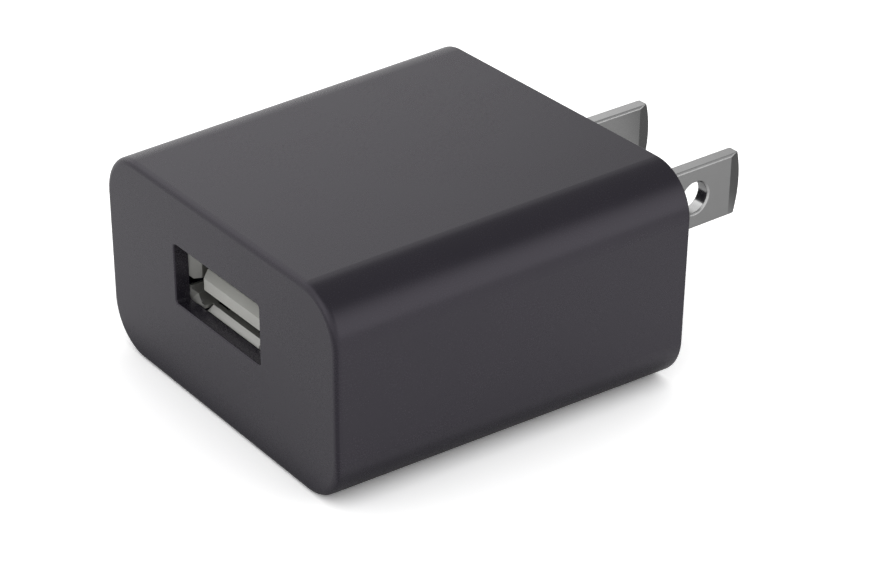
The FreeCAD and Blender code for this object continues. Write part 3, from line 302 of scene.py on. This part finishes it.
def wound_copper(name, turns_per_mm):
    """Enamelled copper wire wound round an upright axis: one ridge for each turn, with painted shade
    darkening the grooves between turns.
    """
    s = Shader(name)
    wobble = s.ramp(s.noise(0.8 * MM, 2), 0.3, 0.7, -0.03 * MM, 0.03 * MM)
    along = s.maths("ADD", s.parts(s.place)["Z"], wobble)
    phase = s.maths("MULTIPLY", along, turns_per_mm / MM * math.pi)
    ridge = s.maths("ABSOLUTE", s.maths("SINE", phase))
    s.set(
        # The colour goes from dark in the grooves to bright on the crests: painted shade between the turns.
        Base_Color=s.mix(ridge, (0.16, 0.045, 0.015), (0.78, 0.36, 0.16)),
        Metallic=0.9,
        Roughness=s.ramp(ridge, 0, 1, 0.42, 0.22),
        Coat_Weight=0.5,
        Coat_Roughness=0.15,
        Normal=s.bump(ridge, 0.05 * MM),
    )
    return s.material


def tape(name, colour):
    """Polyester tape: thin, glossy, with faint creases, its colour darker where the creases dip."""
    s = Shader(name)
    crease = s.noise(2.5 * MM, 4, 0.65, s.scaled((1.0, 1.0, 0.25)))
    s.set(
        Base_Color=s.clouded(colour, s.ramp(crease, 0.35, 0.7, 0, 1), 0.82, 1.0),
        Roughness=s.ramp(crease, 0.3, 0.7, 0.14, 0.26),
        Coat_Weight=0.3,
        Normal=s.bump(crease, 0.04 * MM),
    )
    return s.material


def capacitor_sleeve():
    """A shrunk film sleeve with a pale stripe down one side, and the bare can on the flat ends."""
    s = Shader("capacitor_sleeve")
    wrinkle = s.noise(1.6 * MM, 3, 0.5, s.scaled((1.0, 1.0, 0.3)))
    facing = s.facing()
    stripe = s.ramp(facing["X"], 0.86, 0.88, 0.0, 1.0)
    bare = s.ramp(s.maths("ABSOLUTE", facing["Z"]), 0.9, 0.95, 0.0, 1.0)
    sleeve = s.mix(stripe, (0.012, 0.02, 0.045), (0.42, 0.44, 0.46))
    s.set(
        Base_Color=s.mix(bare, sleeve, (0.62, 0.62, 0.63)),
        Metallic=bare,
        Roughness=s.ramp(wrinkle, 0.3, 0.7, 0.2, 0.34),
        Normal=s.bump(wrinkle, 0.03 * MM),
    )
    return s.material


def threads(s, axis):
    """Ridges of the glass cloth that repeat along one axis."""
    phase = s.maths("MULTIPLY", s.parts(s.place)[axis], math.pi / WEAVE_PITCH)
    return s.maths("ABSOLUTE", s.maths("SINE", phase))


def board_laminate():
    """Glass-cloth laminate under green solder mask: the weave and the copper tracks show through."""
    s = Shader("board_laminate")
    weave = s.maths("MULTIPLY", threads(s, "X"), threads(s, "Y"))
    track = s.ramp(s.cells(3.2 * MM, "DISTANCE_TO_EDGE"), 0.05, 0.07, 0.0, 1.0)
    mask = s.mix(track, (0.012, 0.075, 0.02), (0.022, 0.15, 0.04))
    mask = s.mix(s.maths("MULTIPLY", weave, 0.18), mask, (0.09, 0.3, 0.1))
    cut_edge = s.ramp(s.maths("ABSOLUTE", s.facing()["Z"]), 0.5, 0.6, 1.0, 0.0)
    fibres = s.noise(0.2 * MM, 3, 0.7, s.scaled((1.0, 1.0, 6.0)))
    bare = s.mix(fibres, (0.34, 0.3, 0.16), (0.62, 0.56, 0.34))
    relief = s.maths("ADD", track, s.maths("MULTIPLY", weave, 0.2))
    s.set(
        Base_Color=s.mix(cut_edge, mask, bare),
        Roughness=s.ramp(cut_edge, 0, 1, 0.24, 0.7),
        Normal=s.bump(relief, 0.03 * MM),
    )
    return s.material


def solder():
    """Bright solder with frosted patches and brown stains of flux."""
    s = Shader("solder")
    frost = s.noise(0.25 * MM, 3, 0.6)
    flux = s.ramp(s.noise(0.9 * MM, 2), 0.55, 0.7, 0.0, 0.35)
    s.set(
        Base_Color=s.mix(flux, (0.62, 0.62, 0.61), (0.3, 0.2, 0.08)),
        Metallic=1.0,
        Roughness=s.ramp(frost, 0.35, 0.65, 0.12, 0.42),
        Normal=s.bump(frost, 0.01 * MM),
    )
    return s.material


def chip_body(name, colour, rough):
    """The grainy ceramic or epoxy of the small chip resistors and capacitors."""
    s = Shader(name)
    grain = s.noise(0.06 * MM, 3, 0.6)
    s.set(
        Base_Color=s.clouded(colour, grain, 0.85, 1.1),
        Roughness=s.ramp(grain, 0.3, 0.7, rough - 0.05, rough + 0.08),
        Normal=s.bump(grain, 0.004 * MM),
    )
    return s.material


def banded_resistor():
    """A fusible resistor: a cement-coloured barrel with four colour bands."""
    s = Shader("resistor_coat")
    grain = s.noise(0.15 * MM, 3)
    tint = s.mix(grain, (0.10, 0.22, 0.17), (0.14, 0.28, 0.22))
    height = s.parts(s.place)["Z"]
    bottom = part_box("fuse_resistor")[0].z
    for step, colour in RESISTOR_BANDS:
        band = s.maths("COMPARE", height, bottom + step * MM)
        band.node.inputs[2].default_value = BAND_HALF_HEIGHT
        tint = s.mix(band, tint, colour)
    s.set(Base_Color=tint, Roughness=0.4, Coat_Weight=0.3, Normal=s.bump(grain, 0.01 * MM))
    return s.material


def film():
    """A milky polyester sheet."""
    s = Shader("barrier_film")
    cloud = s.noise(1.5 * MM, 3)
    s.set(
        Base_Color=s.mix(cloud, (0.66, 0.66, 0.62), (0.78, 0.78, 0.74)),
        Roughness=s.ramp(cloud, 0.3, 0.7, 0.25, 0.38),
        Transmission_Weight=0.25,
        Normal=s.bump(cloud, 0.01 * MM),
    )
    return s.material


FINGERS = [name for name in nodes if name.startswith("shell_finger_")]
CONTACTS = [name for name in nodes if name.startswith("usb_contact_")]
CAPACITORS = [
    "supply_capacitor", "output_capacitor_1", "output_capacitor_2", "input_capacitor_1", "input_capacitor_2"
]
CHIPS = ["bridge_rectifier", "controller_chip", "port_chip", "clamp_diode", "signal_diodes", "output_diode"]


def dress_all():
    """One material for each kind of part, as the record's slots list them."""
    dress(["housing", "rear_cover"], body_plastic())
    dress(["blade_left", "blade_right"],
          plated("nickel_plate", BLADE_COLOUR, 0.16, (1.0, 0.06, 1.0), rounding=0.14 * MM))
    dress(["usb_shell"] + FINGERS, shell_steel())
    dress(["usb_insulator"], moulded("tongue_plastic", TONGUE_COLOUR, 0.5, 0.06))
    dress(CONTACTS, plated("contact_gold", GOLD, 0.2, (1.0, 0.1, 1.0)))
    dress(["blade_terminal_left", "blade_terminal_right"],
          plated("bronze_spring", BRONZE, 0.28, (0.1, 1.0, 1.0), stain=BRONZE_STAIN))
    dress(["transformer_pins"], plated("tinned_pin", TIN, 0.28, (1.0, 1.0, 0.1)))
    dress(["main_board"], board_laminate())
    dress(["solder_joints"], solder())
    dress(["transformer_core", "input_choke_core"], ferrite())
    dress(["transformer_bobbin"], moulded("bobbin_nylon", (0.022, 0.022, 0.024), 0.42, 0.2))
    dress(["primary_winding"], wound_copper("fine_wire", 7))
    dress(["secondary_winding", "input_choke_winding"], wound_copper("thick_wire", 2.5))
    dress(["winding_insulation", "winding_wrap", "core_tape"], tape("yellow_tape", YELLOW))
    dress(CAPACITORS, capacitor_sleeve())
    dress(["safety_capacitor"], moulded("blue_ceramic", (0.02, 0.12, 0.42), 0.22, 0.1, 0.3 * MM))
    dress(CHIPS, moulded("chip_black", (0.016, 0.016, 0.017), 0.55, 0.3, 0.07 * MM))
    dress(["chip_resistors"], chip_body("chip_dark", (0.02, 0.02, 0.022), 0.45))
    dress(["chip_capacitors"], chip_body("chip_tan", (0.36, 0.24, 0.13), 0.5))
    dress(["fuse_resistor"], banded_resistor())
    dress(["insulating_sheet"], film())


dress_all()


# ---------------------------------------------------------------- camera
CAMERA_AZIMUTH = 52.459
CAMERA_ELEVATION = 29.609
CAMERA_ROLL = 0.555
CAMERA_DISTANCE = 206.907 * MM
CAMERA_LENS = 98.994
AIM_OFFSET = Vector((6.99, 0.0, 0.98)) * MM


def add_camera():
    """The photographer's view: a long lens that looks past the middle of the body."""
    azimuth = math.radians(CAMERA_AZIMUTH)
    elevation = math.radians(CAMERA_ELEVATION)
    roll = math.radians(CAMERA_ROLL)
    back = Vector((
        math.sin(azimuth) * math.cos(elevation),
        -math.cos(azimuth) * math.cos(elevation),
        math.sin(elevation),
    ))
    right = (-back).cross(Vector((0, 0, 1))).normalized()
    up = right.cross(-back)
    x_axis = right * math.cos(roll) + up * math.sin(roll)
    y_axis = up * math.cos(roll) - right * math.sin(roll)
    turn = Matrix((x_axis, y_axis, back)).transposed().to_4x4()
    body_low, body_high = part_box("housing")
    target = (body_low + body_high) / 2 + AIM_OFFSET
    data = bpy.data.cameras.new("camera")
    data.lens = CAMERA_LENS
    data.clip_start = 0.01
    camera = bpy.data.objects.new("camera", data)
    camera.matrix_world = Matrix.Translation(target + back * CAMERA_DISTANCE) @ turn
    bpy.context.scene.collection.objects.link(camera)
    bpy.context.scene.camera = camera


# ---------------------------------------------------------------- stage
FLOOR_REACH = 3.0
FLOOR_ALBEDO = 0.9
FLOOR_SEEN = 1.525

# Painted shade and painted glow in the floor's colour, seen only where a surface mirrors the floor or takes
# light from it:
# how much of the floor's white shows there. Each row is a distance where a change starts, a distance where
# it ends, and the levels there.
CONTACT_SHADE = (0.0, 2.5 * MM, 0.44, 1.0)
LEFT_SHADE = (-10 * MM, 25 * MM, 0.88, 1.0)
RIGHT_GLOW = (42 * MM, 75 * MM, 1.0, 1.3)
BEHIND_HEADING = (-0.55, 0.835, 0.0)
BEHIND_NEAR = (10 * MM, 22 * MM, 1.0, 0.46)
BEHIND_FAR = (33 * MM, 38 * MM, 1.0, 0.36)
# The painted shade behind the body begins and ends at these distances.
BEHIND_BEGINS = (20 * MM, 32 * MM, 0.0, 1.0)
BEHIND_ENDS = (58 * MM, 80 * MM, 1.0, 0.0)
# A darker fan of painted shade on the floor in front of the body's right corner, which the upright edge
# there mirrors as a painted dark reflection.
FAN_HEADING = math.radians(-66)
FAN_FULL = math.radians(28)
FAN_ENDS = math.radians(40)
FAN_LEVEL = 0.55


def painted_floor_shade(s, into_floor):
    """The painted shade and glow at each place of the floor, given the transform into the floor's own
    frame.
    """
    low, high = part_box("housing")
    middle = (low + high) / 2
    centre = into_floor @ Vector((middle.x, middle.y, low.z))
    half_size = ((high.x - low.x) / 2, (high.y - low.y) / 2, 1.0)
    offset = s.vector("ABSOLUTE", s.vector("SUBTRACT", s.place, centre))
    outside = s.vector("MAXIMUM", s.vector("SUBTRACT", offset, half_size), (0.0, 0.0, 0.0))
    # A painted contact shadow round the body's footprint.
    shade = s.ramp(s.vector("LENGTH", outside), *CONTACT_SHADE)

    across, along, _ = s.parts(s.place)
    # Painted shade towards the left and a painted pool of light towards the right.
    pool = s.maths("MULTIPLY", s.ramp(across, *LEFT_SHADE), s.ramp(across, *RIGHT_GLOW))

    # A painted darker patch of the floor behind the body.
    behind = s.vector("DOT_PRODUCT", s.place, BEHIND_HEADING)
    back = s.maths("MULTIPLY", s.ramp(behind, *BEHIND_NEAR), s.ramp(behind, *BEHIND_FAR))
    patch = s.maths("MULTIPLY", s.ramp(along, *BEHIND_BEGINS), s.ramp(behind, *BEHIND_ENDS))
    dimming = s.maths("MULTIPLY", patch, s.maths("SUBTRACT", 1.0, back))
    shade = s.maths("MULTIPLY", s.maths("MULTIPLY", shade, pool), s.maths("SUBTRACT", 1.0, dimming))

    # Painted shade: a darker fan of the floor in front of the body's right corner.
    corner = into_floor @ Vector((high.x, low.y, low.z))
    level = s.vector("MULTIPLY", s.vector("SUBTRACT", s.place, corner), (1.0, 1.0, 0.0))
    heading = (math.cos(FAN_HEADING), math.sin(FAN_HEADING), 0.0)
    agreement = s.vector("DOT_PRODUCT", s.vector("NORMALIZE", level), heading)
    fan = s.ramp(agreement, math.cos(FAN_ENDS), math.cos(FAN_FULL), 1.0, FAN_LEVEL)
    return s.maths("MULTIPLY", shade, fan)


def add_floor():
    """A white sweep under the charger's lower face: the camera sees it evenly white, and surfaces that
    mirror it or take light from it see its painted shade and glow.
    """
    reach = FLOOR_REACH
    mesh = bpy.data.meshes.new("floor")
    corners = [(-reach, -reach, 0), (reach, -reach, 0), (reach, reach, 0), (-reach, reach, 0)]
    mesh.from_pydata(corners, [], [(0, 1, 2, 3)])
    floor = bpy.data.objects.new("floor", mesh)
    bpy.context.scene.collection.objects.link(floor)
    rest = mount("underside")
    turn = Vector((0, 0, 1)).rotation_difference(-Vector(rest["axis"])).to_matrix().to_4x4()
    floor.matrix_world = Matrix.Translation(Vector(rest["pos_m"])) @ turn

    s = Shader("floor")
    # Painted shade and glow in the floor's colour, for every ray but the camera's.
    mirrored = s.mix(painted_floor_shade(s, floor.matrix_world.inverted()), (0, 0, 0), (FLOOR_ALBEDO,) * 3)
    seen = s.add("ShaderNodeLightPath").outputs["Is Camera Ray"]
    white = s.add("ShaderNodeBsdfDiffuse")
    s.feed(white.inputs["Color"], s.mix(seen, mirrored, (FLOOR_SEEN,) * 3))
    s.feed(s.tree.nodes["Material Output"].inputs["Surface"], white.outputs[0])
    mesh.materials.append(s.material)


def aim(x, y, z):
    return Vector((x, y, z)).normalized()


# Each glow of the studio: where it is, the cosines where it ends and where it is full, and its strength.
SKY_GLOWS = (
    (aim(-0.91, 0.18, 0.37), 0.78, 0.96, 1.0),
    (aim(0.88, 0.45, 0.12), 0.66, 1.0, 1.5),
    (aim(0.50, -0.80, 0.35), 0.50, 0.95, 0.85),
    (aim(-0.50, -0.80, 0.35), 0.50, 0.95, 0.85),
    (aim(-0.69, -0.20, 0.70), 0.80, 0.97, 0.35),
)
SKY_BASE = 0.33
FILL = 1.25
BACKDROP = 1.0


def add_sky():
    """Soft glows for shiny surfaces to mirror, even white light for matt ones, and a white backdrop."""
    world = bpy.data.worlds.new("studio")
    world.use_nodes = True
    world.node_tree.nodes.clear()
    sky = Nodes(world.node_tree)
    toward = sky.add("ShaderNodeTexCoord").outputs["Generated"]
    strength = SKY_BASE
    for centre, ends, full, peak in SKY_GLOWS:
        agreement = sky.vector("DOT_PRODUCT", toward, centre)
        glow = sky.ramp(agreement, ends, full, 0.0, peak, "SMOOTHSTEP")
        strength = sky.maths("ADD", glow, strength)
    path = sky.add("ShaderNodeLightPath").outputs
    strength = sky.choose(path["Is Diffuse Ray"], strength, FILL)
    strength = sky.choose(path["Is Camera Ray"], strength, BACKDROP)
    background = sky.add("ShaderNodeBackground")
    sky.feed(background.inputs["Strength"], strength)
    output = sky.add("ShaderNodeOutputWorld")
    sky.feed(output.inputs["Surface"], background.outputs[0])
    bpy.context.scene.world = world


add_camera()
add_floor()
add_sky()
bpy.context.scene.view_settings.view_transform = "Standard"
